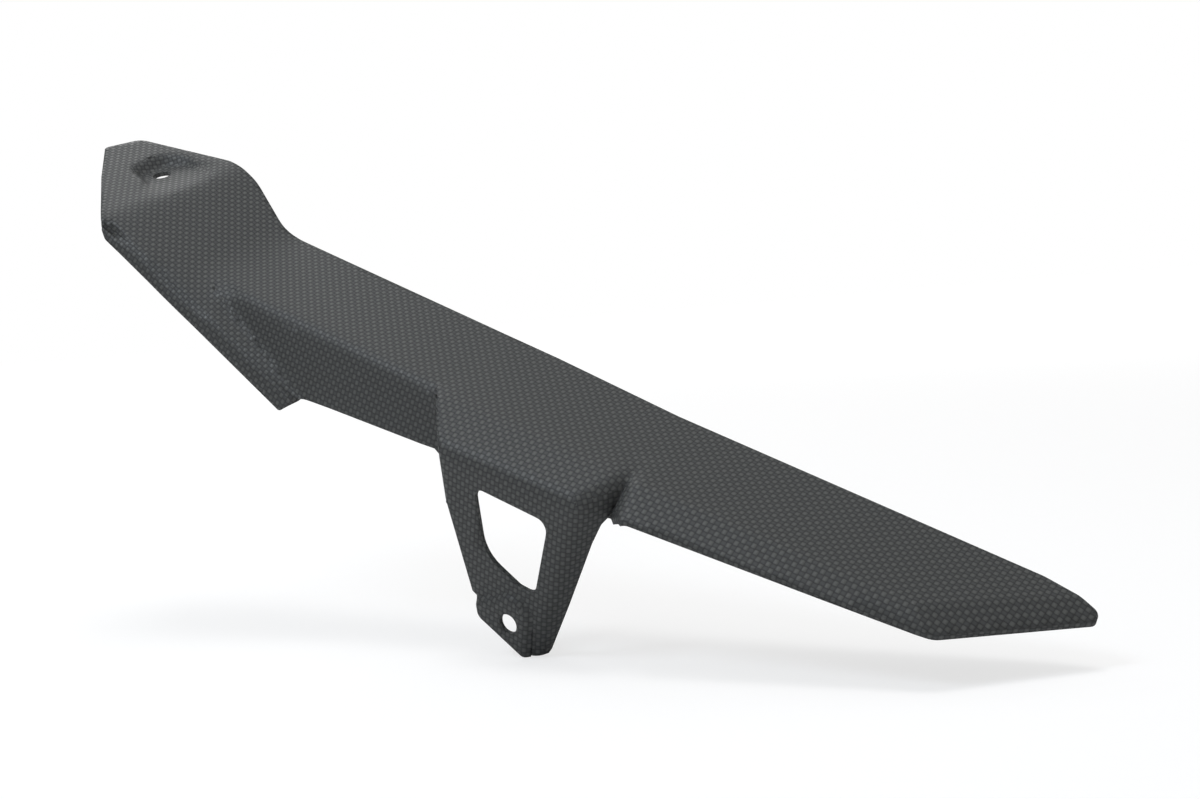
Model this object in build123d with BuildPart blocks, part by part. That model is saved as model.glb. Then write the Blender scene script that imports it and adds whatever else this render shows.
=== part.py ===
from build123d import *
from math import cos, radians, sin, tan
import os

# Chain guard moulded in one thin laminate.
# Millimetres. +X runs rearward along the guard, +Y inboard, +Z up.
# The origin is the centre of the front bolt hole, on the floor of its pocket.
# Corner lists give each corner's two coordinates and its rounding.

# Laminate and rounding
WALL = 2.0
SOFT_ROUND = 20.0
SIDE_ROUND = 6.0
REAR_ROUND = 8.0
BULGE_ROUND = 7.0
TAB_ROUND = 4.0
# Mould blocks reach past the trimmed edges by these
INBOARD = 45.0
REAR_DEPTH = 16.0
SIDE_DEPTH = 45.0
BRACKET_DEPTH = 100.0
OVERLAP = 25.0
FREE_REACH = 5.0
CLEAR = 150.0
# Strip: leans outboard at the front and untwists to level over the bulge
STRIP_TOP = -11.0
LEAN_PIVOT_Y = 6.8
TAB_END_X = 34.3
TAB_END_LEAN = 5.5
TAB_END_FOLD_Y = -36.2
BULGE_X = 202.3
BULGE_LEAN = 3.5
BULGE_FOLD_Y = -42.5
LEVEL_X = 288.3
LEVEL_FOLD_Y = -46.7
SIDE_SLOPE = 68.0
# Bulge: shallow shoulder, upright bracket plate and the walls that close its two ends
SHOULDER_SLOPE = 20.0
SHOULDER_EDGE_Y = -64.9
PLATE_SLOPE = 83.4
BULGE_FRONT_SLOPE = 99.0
BULGE_FRONT_HEADING = -141.0
RETURN_X = 289.3
RETURN_Y = -65.7
RETURN_Z = -19.0
RETURN_SLOPE = 95.3
RETURN_HEADING = -26.0
# Rear bevels
REAR_BEVEL_X = 354.3
REAR_BEVEL_SLOPE = 25.0
REAR_BEVEL_HEADING = -89.0
TIP_BEVEL_X = 414.3
TIP_BEVEL_Y = -43.5
TIP_BEVEL_SLOPE = 20.0
TIP_BEVEL_HEADING = -47.0
NOTCH_X = 298.3
NOTCH_Y = -47.2
NOTCH_SLOPE = 68.0
NOTCH_HEADING = -150.6
REAR_END_X = 484.3
# Front tab, its ramp and the skirt below it
RAMP_X = 69.5
RAMP_Y = -13.2
RAMP_Z = -12.6
RAMP_SLOPE = 21.3
RAMP_HEADING = -21.0
TAB_X = 23.2
TAB_Y = -24.0
TAB_Z = 2.8
TAB_SLOPE = 4.4
TAB_HEADING = -113.0
SKIRT_X = 93.7
SKIRT_Y = -52.5
SKIRT_Z = -26.0
SKIRT_SLOPE = 72.0
SKIRT_HEADING = -85.0
FRONT_END_X = -55.7
SKIRT_REAR_X = 154.3
OUTBOARD_Y = -91.2
# Pocket round the front bolt: its floor hinges down from the top of the ramp
POCKET_SLOPE = 9.9
POCKET_HEADING = -164.5
POCKET_DRAFT = 40.0
POCKET_HEIGHT = 12.0
POCKET_ROUND = 2.0
# Seat round the lower bolt, raised from the plate
SEAT_HEIGHT = 2.5
SEAT_DRAFT = 40.0
SEAT_ROUND = 3.5
# Bolt holes
HOLE_RADIUS = 4.15
LOWER_HOLE_ALONG = -25.8
LOWER_HOLE_UP = -62.3

# Pocket floor, from the top of the ramp
POCKET_CORNERS = [
    (-7.5, -5.3, 2.0),
    (-7.0, 7.2, 6.0),
    (2.5, 12.7, 8.0),
    (30.5, 9.2, 0),
    (35.5, -23.8, 0),
    (20.5, -19.8, 0),
]
# Top of the raised seat, along and up the plate
SEAT_CORNERS = [
    (-52.0, -64.0, 0),
    (-33.5, -55.8, 6.0),
    (-26.5, -51.0, 7.0),
    (-17.8, -54.5, 7.0),
    (-17.5, -95.0, 0),
    (-52.0, -95.0, 0),
]
# Window in the plate, along and up it
WINDOW_CORNERS = [
    (-48.0, -11.0, 3.5),
    (-12.6, -13.0, 5.0),
    (-16.0, -45.9, 4.0),
    (-24.0, -45.4, 5.0),
    (-41.2, -38.0, 16.0),
    (-46.4, -18.0, 6.0),
]
# Free edges seen from above
PLAN_CORNERS = [
    (-38.5, -0.6, 3.0),
    (-31.1, 15.0, 7.0),
    (21.3, 23.2, 15.0),
    (41.8, 20.6, 30.0),
    (67.3, 10.7, 30.0),
    (79.3, 9.6, 0),
    (229.3, 3.4, 0),
    (290.3, -1.2, 0),
    (440.8, -3.6, 20.0),
    (465.8, -8.0, 3.0),
    (420.9, -52.8, 12.0),
    (384.3, -55.8, 0),
    (304.9, -62.0, 0.8),
    (295.3, -53.4, 0.8),
    (291.7, -62.2, 0),
    (291.7, -91.2, 0),
    (28.3, -91.2, 0),
    (28.3, -60.0, 0),
    (18.5, -51.6, 0),
    (-15.7, -22.2, 0),
]
# Free lower edges seen from the side
SIDE_CUT = [
    (16.3, -161.0, 0),
    (16.3, -0.5, 0),
    (21.5, -6.3, 4.0),
    (128.7, -49.2, 2.0),
    (136.8, -42.2, 8.0),
    (152.3, -40.6, 10.0),
    (209.3, -35.6, 0),
    (229.2, -43.6, 3.0),
    (245.7, -76.4, 1.0),
    (249.3, -77.9, 1.5),
    (251.3, -84.0, 4.0),
    (274.6, -92.0, 5.0),
    (324.3, -90.6, 0),
    (324.3, -161.0, 0),
]
# Free edge of the return flange, across and up
FLANGE_CUT = [
    (58.8, -25.5, 0),
    (-52.0, -25.5, 2.0),
    (-55.8, -30.0, 3.0),
    (-58.0, -38.5, 5.0),
    (-62.6, -68.0, 0),
    (-66.6, -90.0, 4.0),
    (-70.6, -97.0, 0),
    (58.8, -97.0, 0),
]
FLANGE_FROM_X = 236.3
FLANGE_TO_X = 334.3


def facet(x, y, z, slope, heading):
    # A moulded face through a point: how far it leans from level and which way it looks
    lean, turn = radians(slope), radians(heading)
    looks = (sin(lean) * cos(turn), sin(lean) * sin(turn), cos(lean))
    return Plane(origin=(x, y, z), x_dir=(1, 0, 0), z_dir=looks)


def fold_z(fold_y, lean):
    return STRIP_TOP - tan(radians(lean)) * (LEAN_PIVOT_Y - fold_y)


def shoulder_edge_z(fold_y, lean):
    return fold_z(fold_y, lean) - (fold_y - SHOULDER_EDGE_Y) * tan(radians(SHOULDER_SLOPE))


top = facet(0, 0, STRIP_TOP, 0, 0)
rear_bevel = facet(REAR_BEVEL_X, LEVEL_FOLD_Y, STRIP_TOP, REAR_BEVEL_SLOPE, REAR_BEVEL_HEADING)
tip_bevel = facet(TIP_BEVEL_X, TIP_BEVEL_Y, STRIP_TOP, TIP_BEVEL_SLOPE, TIP_BEVEL_HEADING)
notch = facet(NOTCH_X, NOTCH_Y, STRIP_TOP, NOTCH_SLOPE, NOTCH_HEADING)
bulge_front = facet(BULGE_X, BULGE_FOLD_Y, fold_z(BULGE_FOLD_Y, BULGE_LEAN),
                    BULGE_FRONT_SLOPE, BULGE_FRONT_HEADING)
bulge_return = facet(RETURN_X, RETURN_Y, RETURN_Z, RETURN_SLOPE, RETURN_HEADING)
ramp = facet(RAMP_X, RAMP_Y, RAMP_Z, RAMP_SLOPE, RAMP_HEADING)
tab = facet(TAB_X, TAB_Y, TAB_Z, TAB_SLOPE, TAB_HEADING)
pocket_floor = facet(0, 0, 0, POCKET_SLOPE, POCKET_HEADING)
skirt = facet(SKIRT_X, SKIRT_Y, SKIRT_Z, SKIRT_SLOPE, SKIRT_HEADING)

# The bracket plate hangs from the shoulder's straight outer edge
edge_front = Vector(BULGE_X, SHOULDER_EDGE_Y, shoulder_edge_z(BULGE_FOLD_Y, BULGE_LEAN))
edge_rear = Vector(LEVEL_X, SHOULDER_EDGE_Y, shoulder_edge_z(LEVEL_FOLD_Y, 0))
rise = Vector(0, cos(radians(PLATE_SLOPE)), sin(radians(PLATE_SLOPE)))
plate = Plane(origin=edge_rear, x_dir=edge_rear - edge_front, z_dir=(edge_rear - edge_front).cross(rise))


def along(edge, plane):
    return all(abs(plane.to_local_coords(edge @ t).Z) < 0.01 for t in (0, 0.5, 1))


def outline(plane, corners, inset=0):
    # A face on a plane from its corners, each with its own rounding
    with BuildSketch(plane) as drawn:
        with BuildLine():
            Polyline(*[corner[:2] for corner in corners], close=True)
        make_face()
        for x, y, rounding in corners:
            if rounding:
                fillet(drawn.vertices().sort_by_distance((x, y, 0))[0], rounding)
        if inset:
            offset(amount=-inset, mode=Mode.REPLACE)
    return drawn.sketch


def block(size_from, size_to, facets, creases, rounding, depth):
    # A solid cut back by every facet, each facet moved in by the depth
    low, high = Vector(size_from), Vector(size_to) + (0, depth * FREE_REACH, 0)
    sides, centre = high - low, (low + high) / 2
    cuts = [plane.offset(-depth) for plane in facets]
    with BuildPart() as piece:
        with BuildSketch(Plane.XY.offset(low.Z)):
            with Locations((centre.X, centre.Y)):
                Rectangle(sides.X, sides.Y)
        extrude(amount=sides.Z)
        for cut in cuts:
            split(bisect_by=cut, keep=Keep.BOTTOM)
        fillet([e for e in piece.edges()
                for first, second in creases if along(e, cuts[first]) and along(e, cuts[second])],
               rounding - depth)
    return piece.part


def section(x, lean, corners, rounds, bottom, depth):
    # Cross section across the length: the strip's top, then its outboard corners, open below
    inboard = INBOARD + depth * FREE_REACH
    outer = [(inboard, fold_z(inboard, lean), 0)]
    outer += [(y, z, rounding) for (y, z), rounding in zip(corners, rounds)]
    outer += [(inboard, bottom, 0)]
    return outline(Plane.YZ.offset(x), outer, depth)


def side_section(x, fold_y, lean, depth):
    bottom = STRIP_TOP - SIDE_DEPTH - depth * FREE_REACH
    fold = (fold_y, fold_z(fold_y, lean))
    foot = (fold_y - (fold[1] - bottom) / tan(radians(SIDE_SLOPE)), bottom)
    return section(x, lean, [fold, foot], [SIDE_ROUND, 0], bottom, depth)


def bulge_section(x, fold_y, lean, depth):
    bottom = STRIP_TOP - BRACKET_DEPTH - depth * FREE_REACH
    edge_z = shoulder_edge_z(fold_y, lean)
    foot = (SHOULDER_EDGE_Y - (edge_z - bottom) / tan(radians(PLATE_SLOPE)), bottom)
    corners = [(fold_y, fold_z(fold_y, lean)), (SHOULDER_EDGE_Y, edge_z), foot]
    return section(x, lean, corners, [SOFT_ROUND, BULGE_ROUND, 0], bottom, depth)


def front_run(depth):
    # The strip ahead of the bulge, with its steep side
    tab_end = side_section(TAB_END_X, TAB_END_FOLD_Y, TAB_END_LEAN, depth)
    bulge_end = side_section(BULGE_X, BULGE_FOLD_Y, BULGE_LEAN, depth)
    with BuildPart() as run:
        add(tab_end)
        add(bulge_end)
        loft(ruled=True)
        extrude(bulge_end, amount=OVERLAP)
    return run.part


def rounds_off(edge, depth):
    # Where the return wall leaves the plate, the shoulder and the strip
    middle = edge @ 0.5
    return (along(edge, bulge_return.offset(-depth)) and middle.Y < INBOARD - 1
            and middle.Z > STRIP_TOP - BRACKET_DEPTH + 1)


def bulge(depth):
    # The shoulder and the plate below it, closed off by a wall at each end
    front_end = bulge_section(BULGE_X, BULGE_FOLD_Y, BULGE_LEAN, depth)
    rear_end = bulge_section(LEVEL_X, LEVEL_FOLD_Y, 0, depth)
    with BuildPart() as run:
        add(front_end)
        add(rear_end)
        loft(ruled=True)
        extrude(rear_end, amount=OVERLAP)
        for wall in (bulge_front, bulge_return):
            split(bisect_by=wall.offset(-depth), keep=Keep.BOTTOM)
        fillet([e for e in run.edges() if rounds_off(e, depth)], BULGE_ROUND - depth)
    return run.part


def pocket(depth):
    # The hollow round the front bolt, its floor and walls moved in by the depth
    inset = -depth * tan(radians(45 - POCKET_DRAFT / 2))
    floor = outline(pocket_floor.offset(-depth), POCKET_CORNERS, inset)
    with BuildPart() as hollow:
        extrude(floor, amount=POCKET_HEIGHT, taper=-POCKET_DRAFT)
        foot = hollow.edges().filter_by(lambda e: along(e, pocket_floor.offset(-depth)))
        fillet(foot, POCKET_ROUND + depth)
    return hollow.part


def seat(depth):
    # The raised seat round the lower bolt, its top and sides moved in by the depth
    inset = depth * tan(radians(45 - SEAT_DRAFT / 2))
    raised = plate.offset(SEAT_HEIGHT - depth)
    crown = outline(raised, SEAT_CORNERS, inset)
    with BuildPart() as pad:
        extrude(crown, amount=-SEAT_HEIGHT - depth, taper=-SEAT_DRAFT)
        fillet(pad.edges().filter_by(lambda e: along(e, raised)), SEAT_ROUND - depth)
    return pad.part


def mould(depth):
    # Everything under the laminate's face, with that face moved in by the depth
    parts = [
        front_run(depth),
        bulge(depth),
        block((LEVEL_X, OUTBOARD_Y, STRIP_TOP - REAR_DEPTH), (REAR_END_X, INBOARD, REAR_DEPTH),
              [top, rear_bevel, tip_bevel, notch],
              [(0, 1), (0, 2), (1, 2), (0, 3), (1, 3)], REAR_ROUND, depth),
        block((FRONT_END_X, OUTBOARD_Y, -BRACKET_DEPTH), (SKIRT_REAR_X, INBOARD, INBOARD),
              [tab, ramp, skirt], [(0, 1), (1, 2)], TAB_ROUND, depth),
        seat(depth),
    ]
    hollow = pocket(depth)
    with BuildPart() as form:
        for piece in parts:
            add(piece)
        add(hollow, mode=Mode.SUBTRACT)
    return form.part


if __name__ == "__main__":
    outer, inner = mould(0), mould(WALL)
    plan = outline(Plane.XY, PLAN_CORNERS)
    side_cut = outline(Plane.XZ, SIDE_CUT)
    flange_cut = outline(Plane.YZ.offset(FLANGE_FROM_X), FLANGE_CUT)
    window = outline(plate, WINDOW_CORNERS)

    with BuildPart() as chain_guard:
        add(outer)
        add(inner, mode=Mode.SUBTRACT)
        extrude(plan, amount=CLEAR, both=True, mode=Mode.INTERSECT)
        extrude(side_cut, amount=CLEAR, both=True, mode=Mode.SUBTRACT)
        extrude(flange_cut, amount=FLANGE_TO_X - FLANGE_FROM_X, mode=Mode.SUBTRACT)
        extrude(window, amount=OVERLAP, both=True, mode=Mode.SUBTRACT)
        with BuildSketch(plate):
            with Locations((LOWER_HOLE_ALONG, LOWER_HOLE_UP)):
                Circle(HOLE_RADIUS)
        extrude(amount=OVERLAP, both=True, mode=Mode.SUBTRACT)
        with BuildSketch(pocket_floor):
            Circle(HOLE_RADIUS)
        extrude(amount=OVERLAP, both=True, mode=Mode.SUBTRACT)

    os.makedirs("parts", exist_ok=True)
    chain_guard.part.label = "chain_guard"
    export_step(chain_guard.part, "parts/chain_guard.step")
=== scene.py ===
import heapq
import math

import bmesh
import bpy
import numpy as np
from mathutils import Matrix, Vector
from mathutils.bvhtree import BVHTree
from mathutils.kdtree import KDTree


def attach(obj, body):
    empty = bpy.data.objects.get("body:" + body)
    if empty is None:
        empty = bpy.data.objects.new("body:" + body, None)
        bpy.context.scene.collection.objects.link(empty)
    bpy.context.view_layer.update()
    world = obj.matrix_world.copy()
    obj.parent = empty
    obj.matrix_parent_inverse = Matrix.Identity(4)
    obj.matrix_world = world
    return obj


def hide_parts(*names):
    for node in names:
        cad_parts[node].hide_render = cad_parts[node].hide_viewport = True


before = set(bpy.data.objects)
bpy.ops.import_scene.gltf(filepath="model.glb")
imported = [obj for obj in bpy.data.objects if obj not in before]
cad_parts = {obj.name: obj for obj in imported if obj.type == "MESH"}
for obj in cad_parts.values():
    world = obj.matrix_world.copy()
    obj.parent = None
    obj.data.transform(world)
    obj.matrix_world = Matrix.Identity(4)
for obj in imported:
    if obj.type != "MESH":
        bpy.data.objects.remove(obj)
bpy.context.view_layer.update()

# Lengths in metres, in the frame's own axes
TOW = 0.002                      # width of one tow, the unit of the weave's own coordinates
LEVEL_SPOT = (0.38, -0.03, 0.05)  # a point above the strip's level top, where the weave starts
TINY = 1e-5
SCENE = bpy.context.scene


# Camera: placed from the weave's perspective and the guard's outline
VIEW = Matrix(((0.81932, 0.35258, -0.45211),
               (0.57018, -0.41856, 0.70689),
               (0.06000, -0.83696, -0.54397)))
EYE = Vector((0.5330, -0.4380, 0.3175))


def column(i):
    return Vector((VIEW[0][i], VIEW[1][i], VIEW[2][i])).normalized()


right, down, forward = column(0), column(1), column(2)
cam_data = bpy.data.cameras.new("studio_camera")
cam_data.sensor_width = 36.0
cam_data.lens = 46.14
cam_data.clip_start = 0.01
cam_data.clip_end = 50.0
cam = bpy.data.objects.new("studio_camera", cam_data)
SCENE.collection.objects.link(cam)
turn = Matrix((right, -down, -forward)).transposed()
cam.matrix_world = Matrix.Translation(EYE) @ turn.to_4x4()
SCENE.camera = cam


# The laminate: the guard's own surface, with the weave laid out flat over its folds
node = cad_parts["chain_guard"]


def unfold(bm, uv):
    # Lays each facet out flat beside the one it is folded from, starting on the strip's level top
    bm.faces.index_update()
    bm.faces.ensure_lookup_table()
    below = BVHTree.FromBMesh(bm).ray_cast(Vector(LEVEL_SPOT), Vector((0, 0, -1)))
    start = bm.faces[below[2]]
    flat = {start: {v: Vector((v.co.x, v.co.y)) for v in start.verts}}
    queue, serial = [], 0

    def push(face):
        nonlocal serial
        for edge in face.edges:
            for other in edge.link_faces:
                if other not in flat:
                    serial += 1
                    bend = edge.calc_face_angle(math.pi) / (edge.calc_length() + TINY)
                    heapq.heappush(queue, (bend, serial, edge, face, other))

    push(start)
    while queue:
        _, _, edge, face, other = heapq.heappop(queue)
        if other in flat:
            continue
        a, b = edge.verts
        pa, pb = flat[face][a], flat[face][b]
        along = (pb - pa).normalized()
        aside = Vector((-along.y, along.x))
        inner = sum((flat[face][v] for v in face.verts), Vector((0, 0))) / len(face.verts)
        if (inner - pa).dot(aside) > 0:
            aside = -aside
        axis = (b.co - a.co).normalized()
        places = {}
        for v in other.verts:
            off = v.co - a.co
            run = off.dot(axis)
            rise = (off - axis * run).length
            places[v] = pa + along * run + aside * rise
        places[a], places[b] = pa, pb
        flat[other] = places
        push(other)
    for face in bm.faces:
        for loop in face.loops:
            loop[uv].uv = flat[face][loop.vert] / TOW


# Folds that the laminate's plies can't follow sharply: two ends of each and the reach of its bend
SOFT_FOLDS = [
    ((0.031, 0.024, 0.006), (0.016, -0.052, 0.000), 0.012),
    ((0.076, 0.024, -0.009), (0.066, -0.040, -0.015), 0.015),
    ((0.068, -0.037, -0.015), (0.137, -0.0514, -0.0425), 0.008),
    ((0.0172, -0.0505, 0.0), (0.1354, -0.0543, -0.0435), 0.007),
    ((0.084, -0.0362, -0.015), (0.202, -0.0425, -0.019), 0.007),
]
# Where the shorter folds are rounded, each box by two corners, and the reach of those bends
SMALL_FOLD_BOXES = [
    ((-0.020, -0.030, -0.010), (0.034, 0.020, 0.012)),
    ((0.206, -0.075, -0.045), (0.236, -0.046, -0.016)),
    ((0.270, -0.080, -0.050), (0.312, -0.040, -0.010)),
]
SMALL_FOLD = 0.004
FOLD_ANGLE = math.radians(12)
LEAST_REACH = 0.0005
# The laminate's wall is found by looking from a facet straight through to the face behind it
WALL_LEAST, WALL_MOST = 0.0012, 0.0030
LOOK_THROUGH = 0.02
FACING_AWAY = -0.7
SAME_FACET = 0.94
# Boxes that are cut up by planes so that the folds can bend, and the planes' spacing
SLICED_BOXES = [
    ((-0.045, -0.085, -0.100), (0.475, 0.030, 0.012), 0.006),
    ((-0.045, -0.085, -0.060), (0.216, 0.030, 0.012), 0.003),
] + [(low, high, 0.0015) for low, high in SMALL_FOLD_BOXES]
FLAT_ANGLE = math.radians(0.2)
SHARP_ANGLE = math.radians(38)


def fold_gap(point, a, b):
    # Distance from a point to the line between a fold's two ends
    share = min(1.0, max(0.0, (point - a).dot(b - a) / (b - a).length_squared))
    return (point - a.lerp(b, share)).length


def skin_faces(bm):
    # The facets with the laminate's even wall behind them, not its cut edges
    solid = BVHTree.FromBMesh(bm)
    skin, seen = set(), set()
    for first in bm.faces:
        if first in seen:
            continue
        seen.add(first)
        facet, waiting, walled, whole = [], [first], 0.0, 0.0
        while waiting:
            face = waiting.pop()
            facet.append(face)
            start = face.calc_center_median()
            hit = solid.ray_cast(start - face.normal * TINY, -face.normal, LOOK_THROUGH)
            area = face.calc_area()
            whole += area
            if hit[0] is not None and WALL_LEAST < hit[3] < WALL_MOST:
                if hit[1].dot(face.normal) < FACING_AWAY:
                    walled += area
            for edge in face.edges:
                for other in edge.link_faces:
                    if other not in seen and other.normal.dot(face.normal) > SAME_FACET:
                        seen.add(other)
                        waiting.append(other)
        if walled > 0.5 * whole:
            skin.update(facet)
    return skin


def in_box(point, low, high):
    return all(low[k] < point[k] < high[k] for k in range(3))


def bend_reach(bm, skin):
    # How far the bend of the nearest fold reaches, falling away from it
    spots = []
    for edge in bm.edges:
        if len(edge.link_faces) == 2 and all(f in skin for f in edge.link_faces):
            if edge.calc_face_angle() > FOLD_ANGLE:
                a, b = edge.verts[0].co, edge.verts[1].co
                count = max(1, int((b - a).length / 0.002))
                along = [a.lerp(b, (i + 0.5) / count) for i in range(count)]
                spots += [p for p in along if any(in_box(p, *box) for box in SMALL_FOLD_BOXES)]
    near = KDTree(len(spots))
    for i, p in enumerate(spots):
        near.insert(p, i)
    near.balance()
    folds = [(Vector(a), Vector(b), length) for a, b, length in SOFT_FOLDS]

    def reach(point):
        most = SMALL_FOLD * min(1.0, max(0.0, 2.0 - near.find(point)[2] / SMALL_FOLD))
        for a, b, length in folds:
            most = max(most, length * min(1.0, max(0.0, 2.0 - fold_gap(point, a, b) / length)))
        return most
    return reach


def slice_up(bm, low, high, step):
    # Cuts the faces of a box by planes along all three axes, so that they can bend
    inside = [f for f in bm.faces if in_box(f.calc_center_median(), low, high)]
    edges = [e for f in inside for e in f.edges]
    verts = [v for f in inside for v in f.verts]
    # A dict keeps each item once and in a fixed order, so every run cuts the mesh the same way
    geom = list(dict.fromkeys(inside + edges + verts))
    for axis in range(3):
        for i in range(1, int((high[axis] - low[axis]) / step) + 1):
            at, facing = Vector(low), Vector()
            at[axis] += i * step
            facing[axis] = 1.0
            cut = bmesh.ops.bisect_plane(bm, geom=geom, dist=1e-6, plane_co=at, plane_no=facing)
            geom = cut["geom"]


def soften(bm, reach, skin_layer):
    # Each point of a fold goes onto the mean plane of the skin around it
    samples = [f for f in bm.faces if f[skin_layer]]
    places = KDTree(len(samples))
    centres = np.array([f.calc_center_median() for f in samples])
    normals = np.array([f.normal for f in samples])
    areas = np.array([f.calc_area() for f in samples])
    for i, c in enumerate(centres):
        places.insert(c, i)
    places.balance()
    moves = {}
    for vert in bm.verts:
        own = [f for f in vert.link_faces if f[skin_layer]]
        if not own:
            continue
        r = reach(vert.co)
        if r < LEAST_REACH:
            continue
        facing = sum((f.normal * f.calc_area() for f in own), Vector()).normalized()
        found = [hit[1] for hit in places.find_range(vert.co, r)]
        if len(found) < 4:
            continue
        c, n = centres[found], normals[found]
        gap = ((c - np.array(vert.co)) ** 2).sum(1) / r ** 2
        alike = np.clip(n @ np.array(facing) - 0.1, 0, 1)
        weight = areas[found] * np.clip(1 - gap, 0, 1) ** 2 * alike
        total = weight.sum()
        if total <= 0:
            continue
        mean = (c * weight[:, None]).sum(0) / total
        axis = Vector((n * weight[:, None]).sum(0)).normalized()
        moves[vert] = axis * (Vector(mean) - vert.co).dot(axis)
    for vert in bm.verts:
        if vert not in moves:
            others = [edge.other_vert(vert) for edge in vert.link_edges]
            beside = [moves[other] for other in others if other in moves]
            if beside:
                vert.co += sum(beside, Vector()) / len(vert.link_edges)
    for vert, move in moves.items():
        vert.co += move


mesh = bpy.data.meshes.new("guard_laminate")
bm = bmesh.new()
bm.from_mesh(node.data)
bmesh.ops.remove_doubles(bm, verts=bm.verts, dist=1e-6)
bmesh.ops.recalc_face_normals(bm, faces=bm.faces)
bmesh.ops.dissolve_limit(bm, angle_limit=FLAT_ANGLE, verts=bm.verts, edges=bm.edges)
for low, high, step in SLICED_BOXES:
    slice_up(bm, low, high, step)
bmesh.ops.triangulate(bm, faces=bm.faces)
uv = bm.loops.layers.uv.new("weave")
on_skin = bm.faces.layers.int.new("skin")
unfold(bm, uv)
skin = skin_faces(bm)
for face in skin:
    face[on_skin] = 1
reach = bend_reach(bm, skin)
soften(bm, reach, on_skin)
bm.faces.layers.int.remove(on_skin)
bm.to_mesh(mesh)
bm.free()
guard = bpy.data.objects.new("guard_laminate", mesh)
SCENE.collection.objects.link(guard)
mesh.shade_smooth()
mesh.set_sharp_from_angle(angle=SHARP_ANGLE)


def nodes_of(material):
    tree = material.node_tree
    tree.nodes.clear()
    return tree


class Graph:
    def __init__(self, tree):
        self.tree = tree

    def add(self, kind, **sockets):
        new = self.tree.nodes.new(kind)
        for name, value in sockets.items():
            self.put(new.inputs[name], value)
        return new

    def put(self, socket, value):
        if isinstance(value, bpy.types.NodeSocket):
            self.tree.links.new(value, socket)
        else:
            socket.default_value = value

    def math(self, operation, *values):
        new = self.tree.nodes.new("ShaderNodeMath")
        new.operation = operation
        for socket, value in zip(new.inputs, values):
            self.put(socket, value)
        return new.outputs[0]

    def mix(self, factor, a, b):
        new = self.tree.nodes.new("ShaderNodeMix")
        new.data_type = "RGBA"
        self.put(new.inputs["Factor"], factor)
        for socket, value in zip([s for s in new.inputs if s.type == "RGBA"], (a, b)):
            self.put(socket, value)
        return [s for s in new.outputs if s.type == "RGBA"][0]


# Plain weave: which tow is on top, how it crowns, and how rough the sunk gaps are. The warp is
# painted lighter than the weft as a painted sheen of the fibres, and the tow edges and sunk gaps
# are painted darker as painted shade.
WARP_WITH_SHEEN, WEFT, GAP_SHADE = (0.084, 0.087, 0.083, 1), (0.052, 0.054, 0.054, 1), (0.014, 0.014, 0.015, 1)
ACROSS_TOW, ALONG_TOW = 0.45, 0.9  # powers that flatten the crown across and along a tow
ROUGH, ROUGH_WEFT, ROUGH_GAP = 0.40, 0.08, 0.2
SPECULAR = 0.40
RELIEF = 0.0002
laminate = bpy.data.materials.new("matte_carbon_weave")
laminate.use_nodes = True
g = Graph(nodes_of(laminate))
coords = g.tree.nodes.new("ShaderNodeUVMap")
coords.uv_map = "weave"
split = g.tree.nodes.new("ShaderNodeSeparateXYZ")
g.tree.links.new(coords.outputs[0], split.inputs[0])
u, v = split.outputs[0], split.outputs[1]
fu, fv = g.math("FRACT", u), g.math("FRACT", v)
parity = g.math("PINGPONG", g.math("ADD", g.math("FLOOR", u), g.math("FLOOR", v)), 1.0)
across_u = g.math("SINE", g.math("MULTIPLY", fu, math.pi))
across_v = g.math("SINE", g.math("MULTIPLY", fv, math.pi))
# The tow on top runs along u where parity is 0 and along v where it is 1
crown_a, crown_b = [g.math("MULTIPLY", g.math("POWER", wide, ACROSS_TOW),
                           g.math("POWER", long, ALONG_TOW))
                    for wide, long in ((across_v, across_u), (across_u, across_v))]
crown = g.math("ADD", g.math("MULTIPLY", crown_a, g.math("SUBTRACT", 1.0, parity)),
               g.math("MULTIPLY", crown_b, parity))
# Painted sheen: the warp tows get a lighter colour than the weft tows, for light caught along the
# fibres
sheen_and_shade_tone = g.mix(parity, WARP_WITH_SHEEN, WEFT)
# Painted shade: towards the tow edges and in the sunk gaps the colour darkens to the gap colour
sheen_and_shade_tone = g.mix(g.math("POWER", crown, 0.5), GAP_SHADE, sheen_and_shade_tone)
# The warp tows, painted lighter, stand a little prouder, and the sunk gaps between them are
# rougher
height = g.math("MULTIPLY", crown, g.math("SUBTRACT", 1.0, g.math("MULTIPLY", parity, 0.5)))
bump = g.add("ShaderNodeBump", Strength=0.5, Distance=RELIEF, Height=height)
dulling = g.math("ADD", g.math("MULTIPLY", parity, ROUGH_WEFT),
                 g.math("MULTIPLY", g.math("SUBTRACT", 1.0, crown), ROUGH_GAP))
skin = g.tree.nodes.new("ShaderNodeBsdfPrincipled")
g.put(skin.inputs["Base Color"], sheen_and_shade_tone)
g.put(skin.inputs["Roughness"], g.math("ADD", ROUGH, dulling))
g.put(skin.inputs["Specular IOR Level"], SPECULAR)
g.tree.links.new(bump.outputs[0], skin.inputs["Normal"])
out = g.tree.nodes.new("ShaderNodeOutputMaterial")
g.tree.links.new(skin.outputs[0], out.inputs["Surface"])
mesh.materials.clear()
mesh.materials.append(laminate)
for polygon in mesh.polygons:
    polygon.material_index = 0

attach(guard, "root")
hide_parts("chain_guard")


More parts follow.
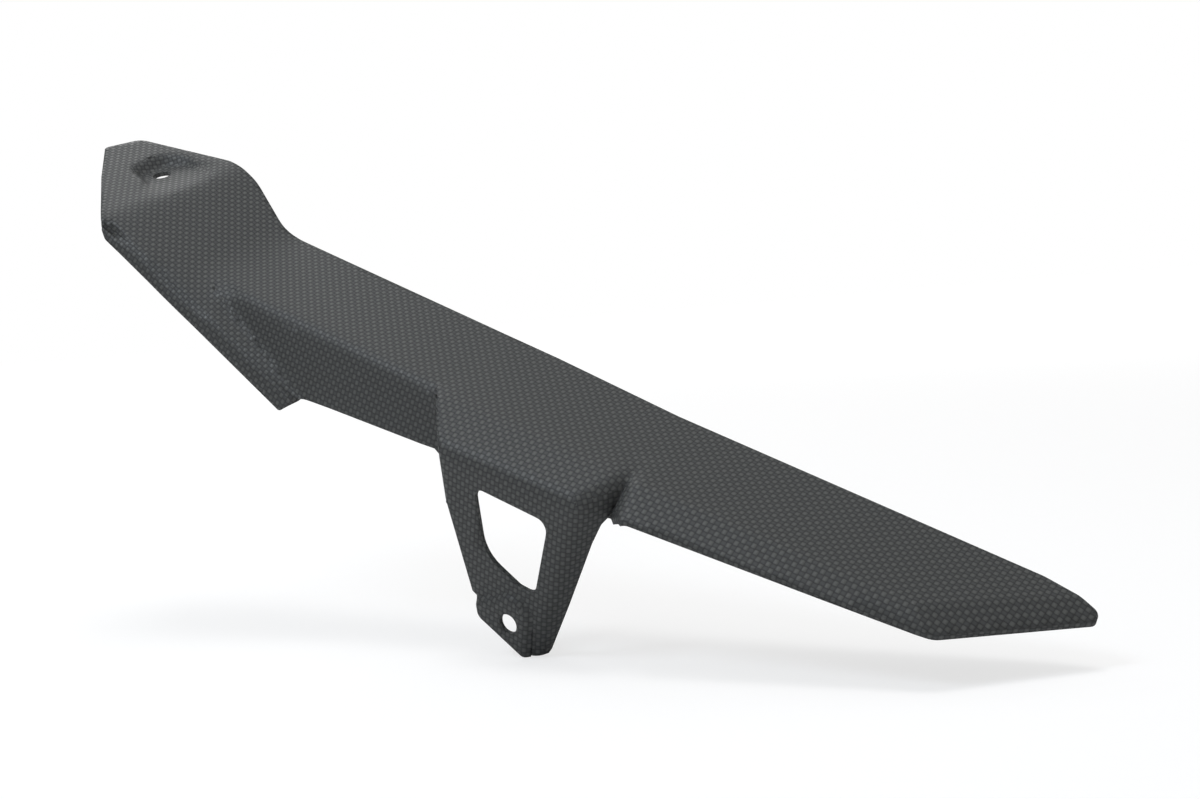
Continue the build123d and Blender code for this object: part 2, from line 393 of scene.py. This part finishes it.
# Studio: a pale floor that the guard stands over, seen at a low angle, and soft light
UP = (-down * 0.994 - forward * 0.075 - right * 0.078).normalized()
FLOOR_AT = Vector((0.2715, -0.0725, -0.0950))
FLOOR_HALF = 6.0
floor_mesh = bpy.data.meshes.new("studio_floor")
bm = bmesh.new()
bmesh.ops.create_grid(bm, x_segments=1, y_segments=1, size=FLOOR_HALF)
bm.to_mesh(floor_mesh)
bm.free()
floor = bpy.data.objects.new("studio_floor", floor_mesh)
SCENE.collection.objects.link(floor)
floor.matrix_world = Matrix.Translation(FLOOR_AT) @ UP.to_track_quat("Z", "Y").to_matrix().to_4x4()
paper = bpy.data.materials.new("floor_paper")
paper.use_nodes = True
p = Graph(nodes_of(paper))
matte = p.tree.nodes.new("ShaderNodeBsdfDiffuse")
lens_ray = p.tree.nodes.new("ShaderNodeLightPath").outputs["Is Camera Ray"]
SEEN_PAPER = (0.35, 0.35, 0.35, 1)
LIT_PAPER = (0.78, 0.78, 0.78, 1)
p.put(matte.inputs["Color"], p.mix(lens_ray, LIT_PAPER, SEEN_PAPER))
# The camera alone sees the paper brighter, and more so far away, so that it meets the white
# behind it without a line. Distances from the floor's middle are in metres.
PAPER_LIFT = (("From Min", 0.3), ("From Max", 2.5), ("To Min", 0.66), ("To Max", 0.88))
glow = p.tree.nodes.new("ShaderNodeEmission")
place = p.tree.nodes.new("ShaderNodeTexCoord")
away = p.tree.nodes.new("ShaderNodeVectorMath")
away.operation = "LENGTH"
p.tree.links.new(place.outputs["Object"], away.inputs[0])
lift = p.tree.nodes.new("ShaderNodeMapRange")
lift.interpolation_type = "SMOOTHSTEP"
p.put(lift.inputs["Value"], away.outputs["Value"])
for socket, value in PAPER_LIFT:
    p.put(lift.inputs[socket], value)
p.put(glow.inputs["Strength"], p.math("MULTIPLY", lens_ray, lift.outputs["Result"]))
paper_sum = p.tree.nodes.new("ShaderNodeAddShader")
p.tree.links.new(matte.outputs[0], paper_sum.inputs[0])
p.tree.links.new(glow.outputs[0], paper_sum.inputs[1])
paper_out = p.tree.nodes.new("ShaderNodeOutputMaterial")
p.tree.links.new(paper_sum.outputs[0], paper_out.inputs["Surface"])
floor_mesh.materials.append(paper)

SKY_SEEN, SKY_LIGHT = 1.0, 0.38
world = bpy.data.worlds.new("studio")
SCENE.world = world
world.use_nodes = True
w = Graph(world.node_tree)
world.node_tree.nodes.clear()
seen = w.tree.nodes.new("ShaderNodeBackground")
w.put(seen.inputs["Color"], (1, 1, 1, 1))
w.put(seen.inputs["Strength"], SKY_SEEN)
lit = w.tree.nodes.new("ShaderNodeBackground")
w.put(lit.inputs["Color"], (1, 1, 1, 1))
w.put(lit.inputs["Strength"], SKY_LIGHT)
path = w.tree.nodes.new("ShaderNodeLightPath")
blend = w.tree.nodes.new("ShaderNodeMixShader")
w.tree.links.new(path.outputs["Is Camera Ray"], blend.inputs[0])
w.tree.links.new(lit.outputs[0], blend.inputs[1])
w.tree.links.new(seen.outputs[0], blend.inputs[2])
world_out = w.tree.nodes.new("ShaderNodeOutputWorld")
w.tree.links.new(blend.outputs[0], world_out.inputs["Surface"])

CENTRE = Vector((0.21, -0.03, -0.03))


def softbox(name, direction, distance, width, height, power, colour=(1, 1, 1)):
    # Stands the lamp away from the guard's middle and aims it back there
    light = bpy.data.lights.new(name, "AREA")
    light.shape = "RECTANGLE"
    light.size, light.size_y = width, height
    light.energy = power
    light.color = colour
    lamp = bpy.data.objects.new(name, light)
    SCENE.collection.objects.link(lamp)
    aim = Vector(direction).normalized()
    lamp.matrix_world = (Matrix.Translation(CENTRE + aim * distance)
                         @ aim.to_track_quat("Z", "Y").to_matrix().to_4x4())
    return lamp


softbox("left_softbox", (-0.85, 0.50, 0.20), 1.2, 0.5, 0.5, 1.8)
softbox("ridge_softbox", (-0.53, -0.30, 0.79), 1.2, 0.4, 0.4, 4.8, (0.82, 0.90, 1.0))
softbox("top_softbox", UP, 1.6, 1.2, 1.0, 4.6)
# The lamp that casts the shadow is not mirrored in the weave
softbox("overhead_lamp", UP, 3.0, 0.8, 0.8, 21.0).visible_glossy = False

SCENE.view_settings.view_transform = "Standard"
